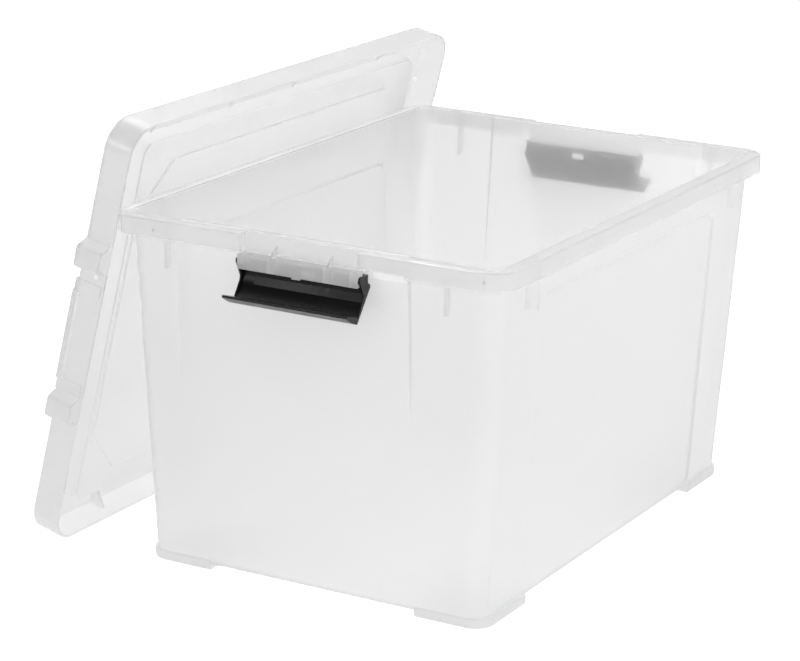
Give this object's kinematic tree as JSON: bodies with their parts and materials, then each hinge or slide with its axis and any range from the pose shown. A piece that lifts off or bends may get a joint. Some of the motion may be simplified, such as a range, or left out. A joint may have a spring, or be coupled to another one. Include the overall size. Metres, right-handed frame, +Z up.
{
  "type": "portable file box",
  "caption": "Clear moulded file box with black swing-up end latches, its lid taken off and leaning on one long side.",
  "frame": {"origin": "middle of the floor under the whole set, tub and leaning lid together", "axes": "+X from the leaning lid towards the tub, across the short ends; +Y along the long sides, from the near latch to the far latch; +Z up"},
  "size_m": [0.4184, 0.5256, 0.3498],
  "materials": {
    "clear_tub": "clear, slightly milky moulded polypropylene, glossy",
    "clear_lid": "clear, slightly milky moulded polypropylene, glossy",
    "black_latch": "black moulded polypropylene, satin"
  },
  "bodies": {
    "tub": {"tub": "clear_tub"},
    "lid": {"lid": "clear_lid"},
    "front_latch": {"front_latch": "black_latch"},
    "rear_latch": {"rear_latch": "black_latch"}
  },
  "joints": [
    {"name": "lid_lift", "type": "slide", "parent": "tub", "child": "lid", "axis": [0, 0, 1], "range_m": [0, 0.3]},
    {"name": "front_latch_hinge", "type": "hinge", "parent": "tub", "child": "front_latch", "pos_m": [0.04024, -0.24195, 0.2585], "axis": [-1, 0, 0], "range_deg": [-4, 148]},
    {"name": "rear_latch_hinge", "type": "hinge", "parent": "tub", "child": "rear_latch", "pos_m": [0.04024, 0.23685, 0.2585], "axis": [1, 0, 0], "range_deg": [-4, 148]}
  ]
}
